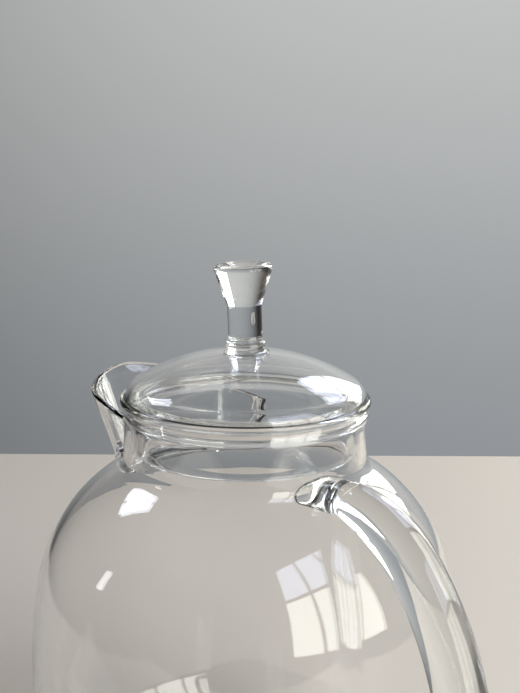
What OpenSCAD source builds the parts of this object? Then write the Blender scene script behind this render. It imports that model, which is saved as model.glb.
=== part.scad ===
// Clear glass teapot: a blown pot with a beak spout and a bent rod handle,
// and a loose lid with a collar that drops into the neck and a solid knob.
// The origin is on the pot's axis, on the surface it stands on. The spout
// points to -X, the handle to +X, and the lid lifts along +Z.

/* [Pot] */
// Radius at the widest level
body_r = 74.2; // [70:0.2:78]
// Height of the widest level
belly_z = 64.2; // [60:0.2:68]
// Radius of the side's long curve, seen from the side
side_r = 180; // [140:5:260]
// Radius of the shoulder's curve, seen from the side
shoulder_r = 55.2; // [50:0.2:58]
// Where the side's curve turns into the shoulder, above level
shoulder_start = 10.2; // [6:0.2:12]
// Radius of the curve between side and base
base_corner_r = 28; // [20:1:34]
// Thickness of the blown glass
wall = 2.2; // [1.8:0.1:2.6]

/* [Neck] */
// Outer radius of the neck
neck_r = 41.4; // [40:0.2:42.4]
// Radius of the hollow curve between shoulder and neck
neck_fillet_r = 5; // [3:0.5:7]
// Height of the fire-polished rim
neck_top = 156.6; // [152:0.2:160]
// Radius of the bead along the rim
bead_r = 1.9; // [1.4:0.1:2.1]

/* [Spout] */
// Distance from the axis to the tip of the beak
spout_reach = 81.7; // [76:0.1:85]
// Half the width of the mouth
spout_half_w = 29; // [26:0.5:30.5]
// Height of the tip
spout_tip_z = 157; // [152:0.2:160]
// How far the rim falls from the tip to the neck
spout_rim_fall = 7.6; // [4:0.2:11]
// How long the sides of the mouth stay straight, 2 for an ellipse
spout_straight = 2.9; // [2.4:0.1:4]
// How pointed the nose of the mouth is, 1 for a wedge and 2 for round
spout_point = 1.7; // [1.4:0.05:2]
// Distance from the axis to the foot of the beak, on the shoulder
spout_foot_reach = 58; // [56:0.2:60]
// Half the width of the foot
spout_foot_half_w = 26.4; // [24:0.2:27.4]
// Width of the pouring hole in the shoulder, around the neck
pour_hole_w = 30; // [20:1:32]
// Width of the pouring hole, out from the neck
pour_hole_d = 9; // [6:0.5:9.5]

/* [Handle] */
// Height of the rod where it is fused to the foot of the neck
handle_root_z = 136; // [134.5:0.5:137.5]
// Angle at which the rod rises from there
handle_rise = 14; // [10:1:18]
// Radius of the rod there, seen from the side
rod_root_r = 4.6; // [4.2:0.1:5.4]
// How far its melted root spreads to each side
rod_spread = 5; // [2:0.5:6]
// Radius of the rod along the grip
rod_grip_r = 8; // [7:0.1:8.4]
// Radius of the rod where it is fused to the side
rod_foot_r = 6.8; // [6:0.1:7.4]
// Radius of the upper bend
upper_bend_r = 45; // [42:1:48]
// Angle that the upper bend turns through
upper_bend = 58; // [54:1:62]
// Radius of the long grip bend
grip_bend_r = 74; // [70:1:80]
// How far the grip bend goes on past upright, back towards the pot
grip_curl = 18; // [10:1:22]
// Radius of the lower bend
lower_bend_r = 22; // [18:1:24]

/* [Lid] */
// Outer radius of the flange
flange_r = 42.5; // [42:0.1:43.5]
// Thickness of the flange
flange_t = 2.6; // [2:0.1:3.2]
// Outer radius of the collar inside the neck
collar_r = 37.3; // [36.5:0.1:37.4]
// Depth of the collar below the flange
collar_depth = 16.1; // [12:0.1:20]
// Thickness of the collar
collar_wall = 2; // [1.6:0.1:2.4]
// Height of the dome's crown above the flange
dome_rise = 15.3; // [13:0.1:17]
// Radius of the dome's crown, seen from the side
dome_crown_r = 72.8; // [66:0.2:78]
// Radius of the dome's turned-down edge, seen from the side
dome_edge_r = 7.8; // [7:0.1:8.4]
// Widest radius of the dome
dome_r = 41.8; // [41.2:0.1:42]

/* [Knob] */
// Radius of the stem
stem_r = 5.8; // [5:0.1:6.2]
// Radius of the head
head_r = 9.8; // [9:0.1:11]
// Height of the knob above the dome's crown
knob_h = 29.2; // [26:0.2:32]
// Height of the cone under the head's edge
head_cone_h = 12.3; // [10:0.1:14]
// Radius of the rounding along the head's edge
head_round = 1.5; // [0.8:0.1:2]
// Radius of the bead round the bottom of the stem
knob_bead_r = 6.8; // [6.6:0.1:7.2]
// Radius of the foot that is fused to the dome
foot_r = 7.8; // [7.6:0.1:8.6]
// Angle at which the knob leans, as it was set by eye
knob_lean = 2.4; // [0:0.2:3]

/* [Hidden] */
$fn = 96;
glass = [0.80, 0.86, 0.84, 0.45];
arc_steps = 12;                    // points along each round stretch

// How high the lid's flange sits above the rim
rest_gap = 0.3;
// How far the rim's bead stands out from the neck
bead_proud = 0.5;

side_c = [body_r - side_r, belly_z];
shoulder_c = side_c + (side_r - shoulder_r) * [cos(shoulder_start), sin(shoulder_start)];
corner_c = [side_c.x + sqrt(pow(side_r - base_corner_r, 2) - pow(belly_z - base_corner_r, 2)),
            base_corner_r];
corner_end = atan2(corner_c.y - side_c.y, corner_c.x - side_c.x);
fillet_dx = neck_r + neck_fillet_r - shoulder_c.x;
fillet_dz = sqrt(pow(shoulder_r + neck_fillet_r, 2) - pow(fillet_dx, 2));
fillet_c = shoulder_c + [fillet_dx, fillet_dz];
fillet_a = atan2(fillet_dz, fillet_dx);
bead_c = [neck_r + bead_proud - bead_r, neck_top - bead_r];

flange_z = neck_top + rest_gap;    // underside of the flange
dome_z = flange_z + flange_t;      // foot of the dome
crown_z = dome_z + dome_rise;
knob_top = crown_z + knob_h;

// Points along an arc of radius r about c, from angle a to angle b
function arc(c, r, a, b, n = arc_steps) =
    [for (i = [0:n]) c + r * [cos(a + (b - a) * i / n), sin(a + (b - a) * i / n)]];

// The pot's outline from the base up to the neck, moved inwards by t
function pot_curve(t) = concat(
    arc(corner_c, base_corner_r - t, -90, corner_end),
    arc(side_c, side_r - t, corner_end, shoulder_start),
    arc(shoulder_c, shoulder_r - t, shoulder_start, fillet_a),
    arc(fillet_c, neck_fillet_r + t, fillet_a + 180, 180, arc_steps / 2));

// The curve run backwards
function reversed(v) = [for (i = [len(v) - 1:-1:0]) v[i]];

// The dome's outline from the crown out to its foot, moved inwards by t
dome_edge_c = [dome_r - dome_edge_r,
    crown_z - dome_crown_r
    + sqrt(pow(dome_crown_r - dome_edge_r, 2) - pow(dome_r - dome_edge_r, 2))];
dome_turn = atan2(dome_edge_c.y - crown_z + dome_crown_r, dome_edge_c.x);
function dome_curve(t) = concat(
    arc([0, crown_z - dome_crown_r], dome_crown_r - t, 90, dome_turn),
    arc(dome_edge_c, dome_edge_r - t, dome_turn,
        asin((dome_z - dome_edge_c.y) / (dome_edge_r - t))));

// The pot and its neck as a filled shape, which the spout and handle are cut back to
module filled_pot() {
    rotate_extrude()
        polygon(concat([[0, 0]], pot_curve(0), [[neck_r, bead_c.y], [0, bead_c.y]]));
}

module body() {
    color(glass) difference() {
        union() {
            rotate_extrude()
                polygon(concat(
                    [[0, 0]], pot_curve(0),
                    [[neck_r, bead_c.y]], [[neck_r - wall, bead_c.y]],
                    reversed(pot_curve(wall)), [[0, wall]]));
            translate([0, 0, bead_c.y])
                rotate_extrude() translate([bead_c.x, 0]) circle(bead_r);
        }
        pouring_slot();
    }
}

// A slot with round ends through the shoulder, inside the foot of the spout
module pouring_slot() {
    gap = 1.2;                     // from the slot to the inside of the spout's foot
    slot_x = -(spout_foot_reach - wall - gap - pour_hole_d / 2);
    round_end = (pour_hole_w - pour_hole_d) / 2;
    translate([slot_x, 0, shoulder_c.y + shoulder_r / 2])
        linear_extrude(shoulder_r / 2) {
            square([pour_hole_d, 2 * round_end], center = true);
            for (side = [-1, 1])
                translate([0, side * round_end]) circle(d = pour_hole_d);
        }
}

// The beak seen from above, as [distance from the axis, side]. s runs from -1 to 1: the
// middle is half of a superellipse, and both ends are straight and finish inside the neck.
beak_root = 25;
beak_start = 36;
beak_curved = 0.8;                 // share of s that is on the superellipse
function beak(s, reach, half_w, straight, point) =
    abs(s) > beak_curved
        ? [beak_root + (beak_start - beak_root) * (1 - abs(s)) / (1 - beak_curved),
           sign(s) * half_w]
        : let (turn = 90 * s / beak_curved)
          [beak_start + (reach - beak_start) * pow(cos(turn), 2 / straight),
           sign(s) * half_w * pow(abs(sin(turn)), 2 / point)];

// Height of the spout's rim at distance u from the axis
function rim_height(u) =
    spout_tip_z - spout_rim_fall * sqrt(max(0, spout_reach - u) / (spout_reach - beak_start));

// Height of the shoulder's outside at distance r from the axis
function shoulder_height(r) =
    shoulder_c.y + sqrt(pow(shoulder_r, 2) - pow(max(r, neck_r) - shoulder_c.x, 2));

// The spout's wall at s: one section with a round top, which reaches down into the pot
foot_straight = 2.4;
foot_point = 2;
function spout_section(s) =
    let (
        half = wall / 2,
        ds = 0.004,
        top = beak(s, spout_reach - half, spout_half_w - half, spout_straight, spout_point),
        foot = beak(s, spout_foot_reach - half, spout_foot_half_w - half,
                    foot_straight, foot_point),
        along = beak(min(s + ds, 1), spout_reach, spout_half_w, spout_straight, spout_point)
              - beak(max(s - ds, -1), spout_reach, spout_half_w, spout_straight, spout_point),
        out = [along.y, -along.x] * half / norm(along),
        top_z = rim_height(top.x) - half,
        foot_z = shoulder_height(norm(foot)),
        sink = 0.25,               // share of the wall that goes below the shoulder
        sunk = foot + sink * (foot - top),
        sunk_z = foot_z + sink * (foot_z - top_z)
    )
    concat(
        [[-sunk.x - out.x, sunk.y + out.y, sunk_z]],
        [for (a = [0:45:180])
            [-top.x - cos(a) * out.x, top.y + cos(a) * out.y, top_z + sin(a) * half]],
        [[-sunk.x + out.x, sunk.y - out.y, sunk_z]]);

// A solid whose rings all have the same number of points, closed at both ends
module loft(rings) {
    n = len(rings[0]);
    last = len(rings) - 1;
    polyhedron(
        points = [for (ring = rings) each ring],
        faces = concat(
            [[for (i = [0:n - 1]) i]],
            [[for (i = [n - 1:-1:0]) last * n + i]],
            [for (c = [0:last - 1], i = [0:n - 1])
                let (j = (i + 1) % n) each [[c * n + j, c * n + i, (c + 1) * n + i],
                                            [c * n + j, (c + 1) * n + i, (c + 1) * n + j]]]));
}

module spout() {
    spout_steps = 24;
    color(glass) difference() {
        loft([for (i = [-spout_steps:spout_steps]) spout_section(i / spout_steps)]);
        filled_pot();
    }
}

// The rod's path in the XZ plane, as [x, z, heading, radius, half width]: up out of the
// foot of the neck, round the upper bend, down the grip, round the lower bend and level
// into the side. The rod is wider than it is high only at its root.
upper_start = 90 + handle_rise;
upper_c = [neck_r, handle_root_z] - upper_bend_r * [cos(upper_start), sin(upper_start)];
grip_start = upper_start - upper_bend;
grip_c = upper_c + (upper_bend_r - grip_bend_r) * [cos(grip_start), sin(grip_start)];
lower_c = grip_c + (grip_bend_r - lower_bend_r) * [cos(grip_curl), -sin(grip_curl)];
spread_length = 9;                 // along the rod, over which the root narrows
function station(c, r, a, rod_r, spread = 0) =
    [c.x + r * cos(a), c.y + r * sin(a), a - 90, rod_r, rod_r + spread];
function rod_path() =
    let (
        inside = 6,                // degrees of the upper bend that lie inside the neck
        step = 4                   // degrees between the grip's rings and each bend
    )
    concat(
        [station(upper_c, upper_bend_r, upper_start + inside, rod_root_r, rod_spread)],
        [for (i = [0:arc_steps])
            let (t = pow(i / arc_steps, 1.5), along = upper_bend_r * t * upper_bend * PI / 180)
            station(upper_c, upper_bend_r, upper_start - t * upper_bend,
                    rod_root_r + (rod_grip_r - rod_root_r) * sin(90 * t),
                    rod_spread * pow(max(0, 1 - along / spread_length), 2))],
        [for (a = [grip_start - step:-2 * step:-grip_curl + step])
            station(grip_c, grip_bend_r, a, rod_grip_r)],
        [for (i = [0:arc_steps]) let (t = i / arc_steps)
            station(lower_c, lower_bend_r, -grip_curl - t * (90 - grip_curl),
                    rod_foot_r + (rod_grip_r - rod_foot_r) * cos(90 * t))],
        [[body_r - 2 * rod_foot_r, lower_c.y - lower_bend_r, -180, rod_foot_r, rod_foot_r]]);

module handle() {
    sides = 20;
    color(glass) difference() {
        loft([for (p = rod_path())
            [for (i = [0:sides - 1]) let (a = 360 * i / sides, out = p[3] * cos(a))
                [p.x - out * sin(p.z), p[4] * sin(a), p.y + out * cos(p.z)]]]);
        filled_pot();
    }
}

module lid_dome() {
    color(glass) rotate_extrude()
        polygon(concat(dome_curve(0), reversed(dome_curve(wall))));
}

// The flange that rests on the rim and the collar below it, turned in one piece
module lid_collar() {
    inner = collar_r - collar_wall;
    foot_z = flange_z - collar_depth;
    lip = collar_wall / 2;         // the collar's lower edge is round
    edge = flange_t / 2;           // and so is the flange's
    hollow = 0.6;                  // radius of the corner between them
    color(glass) rotate_extrude()
        polygon(concat(
            arc([inner + lip, foot_z + lip], lip, -180, 0),
            arc([collar_r + hollow, flange_z - hollow], hollow, 180, 90, 4),
            arc([flange_r - edge, flange_z + edge], edge, -90, 90),
            [[inner, dome_z]]));
}

// The solid knob: a foot fused to the dome, a bead, a stem and a cone with a flat top
module lid_knob() {
    edge_z = knob_top - head_round;
    cone_z = edge_z - head_cone_h;
    sunk = 2;                      // the foot starts this far below the crown
    bead = 1.5;                    // radius of the bead, seen from the side
    bead_z = 2;                    // height of its middle above the crown
    foot_drop = 0.2;               // the foot's edge is this far below the crown
    cone_tilt = 15;
    lean_to = 234;                 // direction of the lean, anticlockwise from +X
    color(glass) difference() {
        translate([0, 0, crown_z]) rotate([0, knob_lean, lean_to]) translate([0, 0, -crown_z])
            rotate_extrude()
                polygon(concat(
                    [[0, crown_z - sunk], [foot_r, crown_z - sunk], [foot_r, crown_z - foot_drop]],
                    arc([knob_bead_r - bead, crown_z + bead_z], bead, -60, 70, 8),
                    [[stem_r, crown_z + bead_z + bead], [stem_r, cone_z]],
                    arc([head_r - head_round, edge_z], head_round, -cone_tilt, 90),
                    [[0, knob_top]]));
        rotate_extrude()
            polygon(concat([[0, dome_z]], dome_curve(0)));
    }
}

body();
spout();
handle();
lid_dome();
lid_collar();
lid_knob();
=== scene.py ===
from math import atan2, ceil, cos, degrees, hypot, pi, radians, sin, sqrt

import bmesh
import bpy
from mathutils import Matrix, Vector


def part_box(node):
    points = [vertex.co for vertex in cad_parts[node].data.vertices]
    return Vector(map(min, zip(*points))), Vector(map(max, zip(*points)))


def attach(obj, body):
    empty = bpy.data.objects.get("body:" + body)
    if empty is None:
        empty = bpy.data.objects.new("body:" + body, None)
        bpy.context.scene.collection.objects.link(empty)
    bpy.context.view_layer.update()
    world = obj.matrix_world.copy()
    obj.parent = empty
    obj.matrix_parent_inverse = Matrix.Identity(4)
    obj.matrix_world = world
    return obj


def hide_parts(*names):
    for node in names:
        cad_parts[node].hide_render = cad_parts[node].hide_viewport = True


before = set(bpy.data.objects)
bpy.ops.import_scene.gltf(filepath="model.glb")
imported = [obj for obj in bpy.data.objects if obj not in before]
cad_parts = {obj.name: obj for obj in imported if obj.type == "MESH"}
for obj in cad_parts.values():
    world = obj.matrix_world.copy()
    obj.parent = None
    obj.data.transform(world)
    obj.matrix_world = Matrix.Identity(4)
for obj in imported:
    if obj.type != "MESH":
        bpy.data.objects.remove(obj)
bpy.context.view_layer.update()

mm = 0.001
print("frame loaded:", sorted(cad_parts))


def hexToLinear(code):
    channels = [int(code[i:i + 2], 16) / 255 for i in (1, 3, 5)]
    return [c / 12.92 if c <= 0.04045 else ((c + 0.055) / 1.055) ** 2.4 for c in channels] + [1]


def addNode(tree, kind, settings=None, links=None):
    node = tree.nodes.new(kind)
    for key, value in (settings or {}).items():
        if isinstance(key, str) and hasattr(node, key):
            setattr(node, key, value)
        else:
            node.inputs[key].default_value = value
    for key, socket in (links or {}).items():
        tree.links.new(socket, node.inputs[key])
    return node


def turned(angle):
    return Vector((cos(radians(angle)), sin(radians(angle))))


def arcPoints(centre, radius, start, end, stepLength=1.2):
    count = max(2, ceil(abs(radians(end - start)) * radius / stepLength))
    turn = [radians(start + (end - start) * i / count) for i in range(count + 1)]
    return [(centre[0] + radius * cos(a), centre[1] + radius * sin(a)) for a in turn]


def linePoints(start, end, stepLength=2.0):
    count = max(1, ceil(hypot(end[0] - start[0], end[1] - start[1]) / stepLength))
    return [tuple(a + (b - a) * i / count for a, b in zip(start, end)) for i in range(count + 1)]


def spunMesh(outline, steps=192):
    # outline is (radius, height) in mm from one end on the axis to the other, or a closed ring
    bm = bmesh.new()
    verts = [bm.verts.new((max(r, 0) * mm, 0, z * mm)) for r, z in outline]
    edges = [bm.edges.new(pair) for pair in zip(verts, verts[1:])]
    if outline[0][0] > 0.01:
        edges.append(bm.edges.new((verts[-1], verts[0])))
    bmesh.ops.spin(bm, geom=verts + edges, axis=(0, 0, 1), cent=(0, 0, 0), angle=2 * pi,
                   steps=steps, use_merge=True, use_duplicate=False)
    bmesh.ops.remove_doubles(bm, verts=bm.verts, dist=1e-6)
    bmesh.ops.recalc_face_normals(bm, faces=bm.faces)
    return bm


def loftMesh(rings):
    # each ring is the same number of points in mm; the first ring's edges are extruded along
    bm = bmesh.new()
    verts = [bm.verts.new(Vector(p) * mm) for p in rings[0]]
    edges = [bm.edges.new(pair) for pair in zip(verts, verts[1:] + verts[:1])]
    bm.faces.new(verts)
    for ring in rings[1:]:
        grown = bmesh.ops.extrude_edge_only(bm, edges=edges)["geom"]
        edges = [e for e in grown if isinstance(e, bmesh.types.BMEdge)]
        newVerts = [v for v in grown if isinstance(v, bmesh.types.BMVert)]
        for vert, point in zip(newVerts, ring):
            vert.co = Vector(point) * mm
    bm.faces.new(newVerts)
    bmesh.ops.recalc_face_normals(bm, faces=bm.faces)
    return bm


def meshObject(name, bm):
    mesh = bpy.data.meshes.new(name)
    bm.to_mesh(mesh)
    bm.free()
    piece = bpy.data.objects.new(name, mesh)
    bpy.context.scene.collection.objects.link(piece)
    return piece


def cutMesh(bm, cutter, operation="DIFFERENCE"):
    kept, tool = meshObject("kept", bm), meshObject("tool", cutter)
    boolean = kept.modifiers.new("cut", "BOOLEAN")
    boolean.operation, boolean.object, boolean.solver = operation, tool, "EXACT"
    bpy.context.view_layer.update()
    result = bmesh.new()
    result.from_object(kept, bpy.context.evaluated_depsgraph_get())
    for used in (kept, tool):
        mesh = used.data
        bpy.data.objects.remove(used)
        bpy.data.meshes.remove(mesh)
    return result


def finishPiece(name, bm, body, nodes, material):
    bmesh.ops.remove_doubles(bm, verts=bm.verts, dist=2e-6)
    for face in bm.faces:
        face.smooth = True
    piece = meshObject(name, bm)
    piece.data.materials.append(material)
    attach(piece, body)
    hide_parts(*nodes)
    print("made", name, len(piece.data.polygons), "faces")


def clearGlass(name, look):
    # Borosilicate: colourless at the thickness of a wall, a faint grey-green down a long path
    material = bpy.data.materials.new(name)
    material.use_nodes = True
    tree = material.node_tree
    tree.nodes.clear()
    place = addNode(tree, "ShaderNodeTexCoord").outputs["Object"]
    normal = None
    for wave in look["waves"]:
        across = addNode(tree, "ShaderNodeMapping", {"Scale": wave.get("stretch", (1, 1, 1))},
                         {"Vector": place}).outputs[0]
        noise = addNode(tree, "ShaderNodeTexNoise",
                        {"Scale": 1 / (wave["lengthMm"] * mm), "Detail": 1.0}, {"Vector": across})
        bump = addNode(tree, "ShaderNodeBump", {"Strength": 1.0, "Distance": wave["heightMm"] * mm},
                       {"Height": noise.outputs[0]})
        if normal:
            tree.links.new(normal, bump.inputs["Normal"])
        normal = bump.outputs[0]
    shader = addNode(tree, "ShaderNodeBsdfPrincipled",
                     {"Base Color": (1, 1, 1, 1), "Roughness": look["roughness"], "IOR": 1.473,
                      "Transmission Weight": 1.0}, {"Normal": normal})
    absorb = addNode(tree, "ShaderNodeVolumeAbsorption",
                     {"Color": hexToLinear(look["tint"]), "Density": look["density"]})
    addNode(tree, "ShaderNodeOutputMaterial", {}, {"Surface": shader.outputs[0],
                                                   "Volume": absorb.outputs[0]})
    return material


lowBody, highBody = (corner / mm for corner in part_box("body"))
pot = {
    "belly": (highBody.x, 64.2),     # radius and height of the widest level
    "sideRadius": 180.0,
    "shoulderRadius": 55.2,
    "shoulderStart": 10.2,
    "cornerRadius": 28.0,
    "wall": 2.2,
    "neck": 41.4,
    "neckFillet": 5.0,
    "rim": highBody.z,
    "bead": 1.9,
    "beadProud": 0.5,
    "beadCove": 2.0,                 # hollow curve between the bead and the neck
    "baseLift": 0.7,                 # a blown base is pushed up a little, so it stands on a ring
    "weldDepth": 0.7,                # how far a fused-on piece reaches into the wall
    "sideOnly": 20.0,                # up to this far above the belly only the side's arc is near
}

sideCentre = (pot["belly"][0] - pot["sideRadius"], pot["belly"][1])
reach = pot["sideRadius"] - pot["shoulderRadius"]
shoulderCentre = (sideCentre[0] + reach * cos(radians(pot["shoulderStart"])),
                  sideCentre[1] + reach * sin(radians(pot["shoulderStart"])))
reach = pot["sideRadius"] - pot["cornerRadius"]
cornerCentre = (sideCentre[0] + sqrt(reach ** 2 - (sideCentre[1] - pot["cornerRadius"]) ** 2),
                pot["cornerRadius"])
cornerEnd = degrees(atan2(cornerCentre[1] - sideCentre[1], cornerCentre[0] - sideCentre[0]))
reach = pot["shoulderRadius"] + pot["neckFillet"]
across = pot["neck"] + pot["neckFillet"] - shoulderCentre[0]
filletAngle = degrees(atan2(sqrt(reach ** 2 - across ** 2), across))
filletCentre = (shoulderCentre[0] + across, shoulderCentre[1] + sqrt(reach ** 2 - across ** 2))


def potCurve(inset):
    return (arcPoints(cornerCentre, pot["cornerRadius"] - inset, -90, cornerEnd)
            + arcPoints(sideCentre, pot["sideRadius"] - inset, cornerEnd, pot["shoulderStart"])[1:]
            + arcPoints(shoulderCentre, pot["shoulderRadius"] - inset, pot["shoulderStart"],
                        filletAngle)[1:]
            + arcPoints(filletCentre, pot["neckFillet"] + inset, filletAngle + 180, 180, 0.7)[1:])


def potGap(x, y, z):
    # distance outside the pot's surface, in mm
    r = hypot(x, y)
    shoulder = hypot(r - shoulderCentre[0], z - shoulderCentre[1]) - pot["shoulderRadius"]
    side = hypot(r - sideCentre[0], z - sideCentre[1]) - pot["sideRadius"]
    corner = hypot(r - cornerCentre[0], z - cornerCentre[1]) - pot["cornerRadius"]
    if z < pot["cornerRadius"]:
        return corner
    if z < pot["belly"][1] + pot["sideOnly"]:
        return side
    return min(shoulder, r - pot["neck"])


def rimPoints():
    bead, cove = pot["bead"], pot["beadCove"]
    centre = (pot["neck"] + pot["beadProud"] - bead, pot["rim"] - bead)
    points = []
    for line, side in ((pot["neck"], 1), (pot["neck"] - pot["wall"], -1)):
        coveX = line + side * cove
        drop = sqrt((bead + cove) ** 2 - (coveX - centre[0]) ** 2)
        coveAngle = degrees(atan2(drop, centre[0] - coveX))
        start = 180 if side > 0 else 0
        points.append((arcPoints((coveX, centre[1] - drop), cove, start, coveAngle, 0.3),
                       coveAngle + 180))
    (outerCove, outerAngle), (innerCove, innerAngle) = points
    beadArc = arcPoints(centre, bead, outerAngle - 360, innerAngle, 0.35)
    return outerCove + beadArc[1:-1] + innerCove[::-1]


def potOutline():
    outer, inner = potCurve(0), potCurve(pot["wall"])
    rim = rimPoints()
    stand = outer[0][0]
    base = [(stand * i / 8, pot["baseLift"] * (1 - (i / 8) ** 2) ** 2) for i in range(8)]
    floor = [(stand * i / 8, pot["wall"] + pot["baseLift"] * (1 - (i / 8) ** 2) ** 2)
             for i in range(8)]
    return (base + outer[:-1] + linePoints(outer[-1], rim[0]) + rim[1:-1]
            + linePoints(rim[-1], inner[-1]) + inner[:-1][::-1] + floor[::-1])


def filledPot(inset):
    top = pot["rim"] - pot["bead"]
    curve = potCurve(inset)
    return spunMesh([(0, inset)] + curve + [(pot["neck"] - inset, top), (0, top)])


hole = {
    "distance": 50.1,                # from the axis to the middle of the hole
    "halfLength": 15.0,              # round the neck
    "halfWidth": 5.4,                # up the shoulder's slope
    "melted": 1.0,                   # radius of the fire-polished edge
    "overhang": (1.5, 0.4),          # how far the cutter stands out of the wall, and widens there
    "ringShift": 0.06,               # lifts the cutter's rings towards each face of the wall
    "ringPoints": 72,
}


def holeCutter():
    # a slot whose rings lie on the shoulder at each depth, wider near both faces of the wall
    rise = degrees(atan2(sqrt(pot["shoulderRadius"] ** 2 - (hole["distance"] - shoulderCentre[0]) ** 2),
                         hole["distance"] - shoulderCentre[0]))
    melted, wall = hole["melted"], pot["wall"]
    above, widening = hole["overhang"]
    levels = [(-above, melted + widening)]
    for i in range(1, 7):
        depth = melted * i / 6
        levels.append((depth - hole["ringShift"],
                       melted - sqrt(melted ** 2 - (melted - depth) ** 2)))
    levels += [(wall - depth, grow) for depth, grow in reversed(levels)]
    rings = []
    for depth, grow in levels:
        ring = []
        for i in range(hole["ringPoints"]):
            turn = 2 * pi * i / hole["ringPoints"]
            width = hole["halfWidth"] + grow
            straight = hole["halfLength"] - hole["halfWidth"]
            along = width * cos(turn) + (straight if cos(turn) >= 0 else -straight)
            up = width * sin(turn)
            angle = radians(rise) + up / pot["shoulderRadius"]
            r = shoulderCentre[0] + (pot["shoulderRadius"] - depth) * cos(angle)
            z = shoulderCentre[1] + (pot["shoulderRadius"] - depth) * sin(angle)
            theta = along / hole["distance"]
            ring.append((-r * cos(theta), r * sin(theta), z))
        rings.append(ring)
    return loftMesh(rings)


blownPotGlass = clearGlass("blownPotGlass", {
    "tint": "#dcebe4", "density": 4.0, "roughness": 0.0,
    # mouth-blown in a turning mould: long soft waves up the wall bend the windows it mirrors
    "waves": [{"lengthMm": 46, "heightMm": 0.35, "stretch": (1, 1, 0.4)},
              {"lengthMm": 9, "heightMm": 0.012}],
})
finishPiece("potBody", cutMesh(spunMesh(potOutline()), holeCutter()), "pot", ["body"],
            blownPotGlass)


lowSpout, highSpout = (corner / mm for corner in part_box("spout"))
spout = {
    "reach": -lowSpout.x,
    "halfWidth": highSpout.y,
    "tip": 157.0,
    "rimFall": 7.6,
    "straight": 2.9,
    "point": 1.7,
    "footReach": 58.0,
    "footHalfWidth": 26.4,
    "footStraight": 2.4,             # powers of the foot's curve, as straight and point are the lip's
    "footPoint": 2,
    "wall": 2.2,
    "root": 25.0,
    "start": 36.0,
    "sink": 0.3,
    "weldFlare": 0.9,                # the wall swells where it is fused to the shoulder
    "weldReach": 3.0,
    "rootThin": 0.45,                # share of its thickness that the wall loses beside the neck
    "thinFrom": 0.7,                 # where that begins, as a share of the way round to the root
    "thinOver": 0.2,                 # and the share over which the wall thins
    "sections": 60,                  # to each side of the point
}


def beakPoint(s, reach, halfWidth, straight, point, curved=0.8):
    side = (s > 0) - (s < 0)
    if abs(s) > curved:
        return Vector((spout["root"] + (spout["start"] - spout["root"]) * (1 - abs(s)) / (1 - curved),
                       side * halfWidth))
    turn = pi / 2 * s / curved
    return Vector((spout["start"] + (reach - spout["start"]) * max(cos(turn), 0) ** (2 / straight),
                   side * halfWidth * abs(sin(turn)) ** (2 / point)))


def spoutRing(s, rows=14, crown=8):
    thin = spout["rootThin"] * min(1, max(0, (abs(s) - spout["thinFrom"]) / spout["thinOver"]))
    half, step = spout["wall"] / 2 * (1 - thin), 0.004
    mouth = (spout["reach"] - half, spout["halfWidth"] - half, spout["straight"], spout["point"])
    top = beakPoint(s, *mouth)
    foot = beakPoint(s, spout["footReach"] - half, spout["footHalfWidth"] - half,
                     spout["footStraight"], spout["footPoint"])
    along = beakPoint(min(s + step, 1), *mouth) - beakPoint(max(s - step, -1), *mouth)
    out = Vector((along.y, -along.x)).normalized()
    fall = sqrt(max(0, spout["reach"] - top.x) / (spout["reach"] - spout["start"]))
    topZ = spout["tip"] - spout["rimFall"] * fall - half
    r = max(foot.length, pot["neck"]) - shoulderCentre[0]
    footZ = shoulderCentre[1] + sqrt(pot["shoulderRadius"] ** 2 - r ** 2)
    outer, inner = [], []
    for i in range(rows):
        t = -spout["sink"] + (1 + spout["sink"]) * i / (rows - 1)
        middle = foot.lerp(top, t) if t >= 0 else foot + (foot - top) * -t
        z = footZ + (topZ - footZ) * t
        gap = max(0, potGap(middle.x, middle.y, z))
        swell = spout["weldFlare"] * max(0, 1 - gap / spout["weldReach"]) ** 2
        for side, ring in ((1, outer), (-1, inner)):
            edge = middle + side * out * (half + swell)
            ring.append((-edge.x, edge.y, z))
    lip = []
    for i in range(1, crown):
        a = pi * i / crown
        edge = top + out * half * cos(a)
        lip.append((-edge.x, edge.y, topZ + half * sin(a)))
    return outer + lip + inner[::-1]


flameWorkedGlass = clearGlass("flameWorkedGlass", {
    "tint": "#dcebe4", "density": 4.0, "roughness": 0.0,
    # pulled out with a tool at the lamp: upright ripples break the light in the beak
    "waves": [{"lengthMm": 14, "heightMm": 0.12, "stretch": (1, 1, 0.35)}],
})
sections = spout["sections"]
spoutStrip = loftMesh([spoutRing(i / sections) for i in range(-sections, sections + 1)])
finishPiece("beakSpout", cutMesh(spoutStrip, filledPot(pot["weldDepth"])), "pot", ["spout"],
            flameWorkedGlass)


rod = {
    "rootHeight": 136.0,
    "rise": 14.0,                    # degrees above level at the root
    "root": 4.6,                     # radii along the rod
    "grip": 8.0,
    "foot": 6.8,
    "spread": 5.0,                   # how far the melted root runs out to each side
    "spreadLength": 9.0,
    "upperBend": 45.0,
    "upperTurn": 58.0,
    "gripBend": 74.0,
    "curl": 18.0,
    "lowerBend": 22.0,
    "weldFlare": 0.9,
    "weldReach": 2.5,
    "rootInside": 6.0,               # degrees of the bend that start inside the neck
    "footInside": 14.0,              # how far inside the belly's radius the level end stops
}


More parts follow.
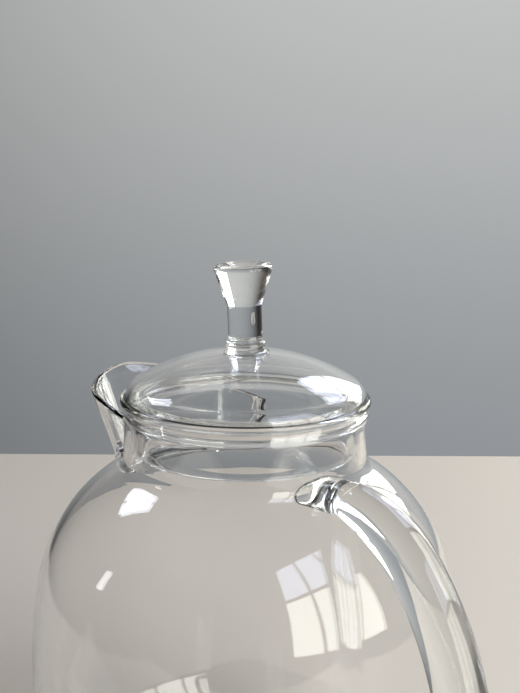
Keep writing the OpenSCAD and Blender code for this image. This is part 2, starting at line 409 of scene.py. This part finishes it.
def rodPath(stepLength=1.6):
    # (x, z, heading in degrees, radius, half width) in mm, from inside the neck to inside the side
    start = 90 + rod["rise"]
    upper = Vector((pot["neck"], rod["rootHeight"])) - rod["upperBend"] * turned(start)
    grip = start - rod["upperTurn"]
    middle = upper + (rod["upperBend"] - rod["gripBend"]) * turned(grip)
    lower = middle + (rod["gripBend"] - rod["lowerBend"]) * turned(-rod["curl"])
    path = []

    def bend(centre, bendRadius, a, b, radius, spread=lambda along: 0):
        count = ceil(radians(a - b) * bendRadius / stepLength)
        for i in range(count):
            t = i / count
            angle = a + (b - a) * t
            place = centre + bendRadius * turned(angle)
            path.append((place.x, place.y, angle - 90, radius(t),
                         radius(t) + spread(radians(a - angle) * bendRadius)))

    def spread(along):
        return rod["spread"] * max(0, 1 - along / rod["spreadLength"]) ** 2

    bend(upper, rod["upperBend"], start + rod["rootInside"], start, lambda t: rod["root"],
         lambda along: rod["spread"])
    bend(upper, rod["upperBend"], start, grip,
         lambda t: rod["root"] + (rod["grip"] - rod["root"]) * sin(pi / 2 * t), spread)
    bend(middle, rod["gripBend"], grip, -rod["curl"], lambda t: rod["grip"])
    bend(lower, rod["lowerBend"], -rod["curl"], -90,
         lambda t: rod["foot"] + (rod["grip"] - rod["foot"]) * cos(pi / 2 * t))
    level = linePoints((lower.x, 0), (pot["belly"][0] - rod["footInside"], 0), stepLength)
    path += [(x, lower.y - rod["lowerBend"], -180, rod["foot"], rod["foot"]) for x, _ in level]
    return path


def rodRing(x, z, heading, radius, halfWidth, sides=48):
    ring = []
    for i in range(sides):
        a, h = 2 * pi * i / sides, radians(heading)
        outward = Vector((-radius * cos(a) * sin(h), halfWidth * sin(a), radius * cos(a) * cos(h)))
        point = Vector((x, 0, z)) + outward
        gap = max(0, potGap(*point))
        swell = rod["weldFlare"] * max(0, 1 - gap / rod["weldReach"]) ** 2
        ring.append(point + swell * outward.normalized())
    return ring


drawnRodGlass = clearGlass("drawnRodGlass", {
    "tint": "#d3e6dc", "density": 5.0, "roughness": 0.0,
    # bent by hand over a flame: slow uneven swellings make the streaks in the rod wander
    "waves": [{"lengthMm": 22, "heightMm": 0.25}, {"lengthMm": 6, "heightMm": 0.01}],
})
rodStrip = loftMesh([rodRing(*station) for station in rodPath()])
finishPiece("rodHandle", cutMesh(rodStrip, filledPot(pot["weldDepth"])), "pot", ["handle"],
            drawnRodGlass)


lowDome, highDome = (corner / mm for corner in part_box("lid_dome"))
lowCollar, highCollar = (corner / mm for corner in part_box("lid_collar"))
lid = {
    "crownRadius": 72.8,
    "edgeRadius": 7.8,
    "widest": highDome.x,
    "wall": 2.2,
    "crown": highDome.z,
    "foot": lowDome.z,
    "weldDepth": 0.6,
    "flange": highCollar.x,
    "flangeThick": 2.6,
    "collar": 37.3,
    "collarWall": 2.0,
    "collarFoot": lowCollar.z,
    "collarCove": 0.6,
    "collarShoulder": 0.5,
}


def domeCurve(inset, foot):
    edge = (lid["widest"] - lid["edgeRadius"],
            lid["crown"] - lid["crownRadius"]
            + sqrt((lid["crownRadius"] - lid["edgeRadius"]) ** 2
                   - (lid["widest"] - lid["edgeRadius"]) ** 2))
    centre = (0, lid["crown"] - lid["crownRadius"])
    turn = degrees(atan2(edge[1] - centre[1], edge[0]))
    end = degrees(atan2(foot - edge[1], sqrt((lid["edgeRadius"] - inset) ** 2 - (foot - edge[1]) ** 2)))
    return (arcPoints(centre, lid["crownRadius"] - inset, 90, turn)
            + arcPoints(edge, lid["edgeRadius"] - inset, turn, end, 0.5)[1:])


def domeOutline():
    foot = lid["foot"] - lid["weldDepth"]
    return domeCurve(0, foot) + domeCurve(lid["wall"], foot)[::-1]


def collarOutline():
    inner = lid["collar"] - lid["collarWall"]
    lip, edge, cove = lid["collarWall"] / 2, lid["flangeThick"] / 2, lid["collarCove"]
    soft = lid["collarShoulder"]
    under = lid["foot"] - lid["flangeThick"]
    lipArc = arcPoints((inner + lip, lid["collarFoot"] + lip), lip, -180, 0, 0.25)
    coveArc = arcPoints((lid["collar"] + cove, under - cove), cove, 180, 90, 0.2)
    edgeArc = arcPoints((lid["flange"] - edge, under + edge), edge, -90, 90, 0.25)
    shoulder = arcPoints((inner + soft, lid["foot"] - soft), soft, 90, 180, 0.2)
    return (lipArc + linePoints(lipArc[-1], coveArc[0])[1:-1] + coveArc
            + linePoints(coveArc[-1], edgeArc[0])[1:-1] + edgeArc
            + linePoints(edgeArc[-1], shoulder[0])[1:-1] + shoulder
            + linePoints(shoulder[-1], lipArc[0])[1:-1])


knob = {
    "stem": 5.8,
    "head": 9.8,
    "height": 29.2,                  # above the dome's crown
    "coneHeight": 12.3,
    "headRound": 1.5,
    "bead": (6.8, 1.5, 2.0),         # outer radius, section radius and height above the crown
    "foot": 7.8,
    "footCove": 1.2,
    "footDrop": 0.3,                 # how far the cove starts below the crown
    "groove": (0.5, 0.45),           # radius, and height above the end of the bead
    "waist": 1.0,
    "lean": 2.4,                     # degrees, because it was set by eye
    "leanTo": 234.0,
    "weldDepth": 0.8,
}


def knobMesh():
    crown = lid["crown"]
    edgeZ = crown + knob["height"] - knob["headRound"]
    coneZ = edgeZ - knob["coneHeight"]
    weld = crown - knob["weldDepth"]
    fallen = knob["foot"] ** 2 / (2 * lid["crownRadius"])
    beadReach, bead, beadZ = knob["bead"]
    footArc = arcPoints((knob["foot"], crown - knob["footDrop"] + knob["footCove"]),
                        knob["footCove"], -90, -150, 0.2)
    beadArc = arcPoints((beadReach - bead, crown + beadZ), bead, -40, 68, 0.2)
    hollow, lift = knob["groove"]
    groove = arcPoints((knob["stem"] + hollow, beadArc[-1][1] + lift), hollow, 235, 180, 0.15)
    waist = arcPoints((knob["stem"] + knob["waist"], coneZ), knob["waist"], 180, 163, 0.1)
    head = arcPoints((knob["head"] - knob["headRound"], edgeZ), knob["headRound"], -15, 90, 0.2)
    bm = spunMesh(linePoints((0, weld), (knob["foot"], weld - fallen), 1) + footArc + beadArc + groove
                  + linePoints(groove[-1], waist[0])[1:-1] + waist
                  + linePoints(waist[-1], head[0])[1:-1] + head
                  + linePoints(head[-1], (0, crown + knob["height"]))[1:], 96)
    axis = Vector((*turned(knob["leanTo"] + 90), 0))
    bmesh.ops.rotate(bm, verts=bm.verts, cent=(0, 0, crown * mm),
                     matrix=Matrix.Rotation(radians(knob["lean"]), 3, axis))
    return bm


blownLidGlass = clearGlass("blownLidGlass", {
    "tint": "#dcebe4", "density": 4.0, "roughness": 0.0,
    # blown like the pot but smaller: shorter waves, so the dome's glints have soft crooked edges
    "waves": [{"lengthMm": 24, "heightMm": 0.12}],
})
turnedCollarGlass = clearGlass("turnedCollarGlass", {
    "tint": "#cfe4d6", "density": 7.0, "roughness": 0.0,
    # shaped against a turning tool: nearly even, and the greenest glass, seen edge-on at the flange
    "waves": [{"lengthMm": 30, "heightMm": 0.08}],
})
pressedKnobGlass = clearGlass("pressedKnobGlass", {
    "tint": "#d3e6dc", "density": 5.0, "roughness": 0.0,
    # solid and pressed in tongs: it acts as a lens, with faint dents that soften its bands
    "waves": [{"lengthMm": 9, "heightMm": 0.05}],
})
finishPiece("lidDome", spunMesh(domeOutline()), "lid", ["lid_dome"], blownLidGlass)
finishPiece("lidCollar", spunMesh(collarOutline()), "lid", ["lid_collar"],
            turnedCollarGlass)
finishPiece("lidKnob", knobMesh(), "lid", ["lid_knob"], pressedKnobGlass)


studio = {
    "floor": "#ded5c8",
    "floorRoughness": 0.6,
    "floorHalf": 0.443,              # from the pot to the floor's far edge, in metres
    "wall": ("#92969a", "#c9cac9"),  # light wall behind the pot, low down and high up
    "wallAzimuth": 117.0,
    "wallRise": (-0.35, 0.25),       # sine of the elevation, from the low colour to the high one
    "wallSpread": (0.35, 1.0),       # cosine of the angle off the wall's azimuth, from dark to light
    "room": "#211d1b",               # dark rest of the studio, which draws the edges of the glass
    "ceiling": "#6c6f72",
    "ceilingRise": (0.45, 0.85),
    "window": {"azimuth": 14.0, "distance": 0.95, "width": 0.95, "low": 0.02, "high": 1.45,
               "panes": (3, 2), "bar": 0.1,
               "rows": (("#f3f2e8", 11.0), ("#d8def3", 9.0))},      # colour and watts, from below
    "farWindow": {"azimuth": 108.0, "distance": 0.95, "width": 0.5, "low": 0.25, "high": 1.1,
                  "panes": (2, 2), "bar": 0.08, "rows": (("#f3f2e8", 3.5), ("#d8def3", 3.5))},
    "skylight": {"azimuth": -165.0, "distance": 0.95, "width": 0.34, "low": 0.75, "high": 1.25,
                 "panes": (2, 1), "bar": 0.05, "rows": (("#e4e8f6", 4.0),)},
    "gap": {"azimuth": -122.0, "distance": 0.95, "width": 0.05, "low": 0.3, "high": 0.5,
            "panes": (1, 1), "bar": 0.0, "rows": (("#ffffff", 0.25),)},
    "lens": 56.0,
    "sensor": 34.6,
    "cameraAzimuth": 54.0,
    "cameraDistance": 369.6,
    "cameraHeight": 252.9,
    "pitch": 11.75,
    "yaw": 0.73,
    "roll": 0.5,
}


def makeFloor():
    bm = bmesh.new()
    bmesh.ops.create_grid(bm, x_segments=2, y_segments=2, size=studio["floorHalf"])
    bmesh.ops.rotate(bm, verts=bm.verts,
                     matrix=Matrix.Rotation(radians(studio["cameraAzimuth"]), 3, "Z"))
    floor = meshObject("floor", bm)
    material = bpy.data.materials.new("paleFloor")
    material.use_nodes = True
    shader = material.node_tree.nodes["Principled BSDF"]
    shader.inputs["Base Color"].default_value = hexToLinear(studio["floor"])
    shader.inputs["Roughness"].default_value = studio["floorRoughness"]
    floor.data.materials.append(material)


def makeWindow(name, look):
    # upright panes of soft daylight: garden light through the low row, sky through the high one
    az = radians(look["azimuth"])
    back, aside = Vector((cos(az), sin(az), 0)), Vector((-sin(az), cos(az), 0))
    across, up = look["panes"]
    paneW, paneH = look["width"] / across, (look["high"] - look["low"]) / up
    for j, (colour, watts) in enumerate(look["rows"]):
        for i in range(across):
            lamp = bpy.data.lights.new(f"{name}{i}{j}", "AREA")
            lamp.shape = "RECTANGLE"
            lamp.size, lamp.size_y = paneW - look["bar"] / across, paneH - look["bar"] / up
            lamp.energy, lamp.color = watts / across, hexToLinear(colour)[:3]
            holder = bpy.data.objects.new(lamp.name, lamp)
            holder.location = (back * look["distance"] + aside * (i - (across - 1) / 2) * paneW
                               + Vector((0, 0, look["low"] + (j + 0.5) * paneH)))
            holder.rotation_mode = "QUATERNION"
            holder.rotation_quaternion = back.to_track_quat("Z", "Y")
            holder.visible_camera = False
            bpy.context.scene.collection.objects.link(holder)


def makeWorld():
    # a light wall on one side, a dark room on the other, and a ceiling over both
    world = bpy.data.worlds.new("studioAir")
    world.use_nodes = True
    tree = world.node_tree
    tree.nodes.clear()
    direction = addNode(tree, "ShaderNodeTexCoord").outputs["Generated"]
    height = addNode(tree, "ShaderNodeSeparateXYZ", {}, {0: direction}).outputs["Z"]
    facing = addNode(tree, "ShaderNodeVectorMath",
                     {"operation": "DOT_PRODUCT", 1: (*turned(studio["wallAzimuth"]), 0)}, {0: direction})

    def ramp(value, low, high):
        return addNode(tree, "ShaderNodeMapRange",
                       {"interpolation_type": "SMOOTHSTEP", "From Min": low, "From Max": high},
                       {"Value": value}).outputs["Result"]

    def blend(share, low, high):
        node = addNode(tree, "ShaderNodeMix", {"data_type": "RGBA"}, {0: share})
        for socket, colour in ((6, low), (7, high)):
            if isinstance(colour, str):
                node.inputs[socket].default_value = hexToLinear(colour)
            else:
                tree.links.new(colour, node.inputs[socket])
        return node.outputs[2]

    wall = blend(ramp(height, *studio["wallRise"]), *studio["wall"])
    sides = blend(ramp(facing.outputs["Value"], *studio["wallSpread"]), studio["room"], wall)
    colour = blend(ramp(height, *studio["ceilingRise"]), sides, studio["ceiling"])
    background = addNode(tree, "ShaderNodeBackground", {}, {"Color": colour})
    addNode(tree, "ShaderNodeOutputWorld", {}, {"Surface": background.outputs[0]})
    bpy.context.scene.world = world


def makeCamera():
    az = radians(studio["cameraAzimuth"])
    forward = Vector((-sin(az), cos(az), 0))
    right = Vector((cos(az), sin(az), 0))
    yaw, pitch, roll = (radians(studio[key]) for key in ("yaw", "pitch", "roll"))
    level = forward * cos(yaw) + right * sin(yaw)
    right = right * cos(yaw) - forward * sin(yaw)
    look = level * cos(pitch) - Vector((0, 0, sin(pitch)))
    up = Vector((0, 0, cos(pitch))) + level * sin(pitch)
    right, up = right * cos(roll) + up * sin(roll), up * cos(roll) - right * sin(roll)
    data = bpy.data.cameras.new("camera")
    data.lens, data.sensor_width = studio["lens"], studio["sensor"]
    data.clip_start = 0.01
    camera = bpy.data.objects.new("camera", data)
    camera.matrix_world = Matrix((right, up, -look)).transposed().to_4x4()
    camera.location = Vector((-forward.x * studio["cameraDistance"],
                              -forward.y * studio["cameraDistance"], studio["cameraHeight"])) * mm
    bpy.context.scene.collection.objects.link(camera)
    bpy.context.scene.camera = camera


makeFloor()
makeWindow("window", studio["window"])
for opening in ("farWindow", "skylight", "gap"):
    makeWindow(opening, studio[opening])
makeWorld()
makeCamera()
cycles = bpy.context.scene.cycles
cycles.max_bounces, cycles.transmission_bounces, cycles.glossy_bounces = 24, 24, 12
cycles.transparent_max_bounces = 16
bpy.context.scene.view_settings.view_transform = "Standard"
print("studio ready")
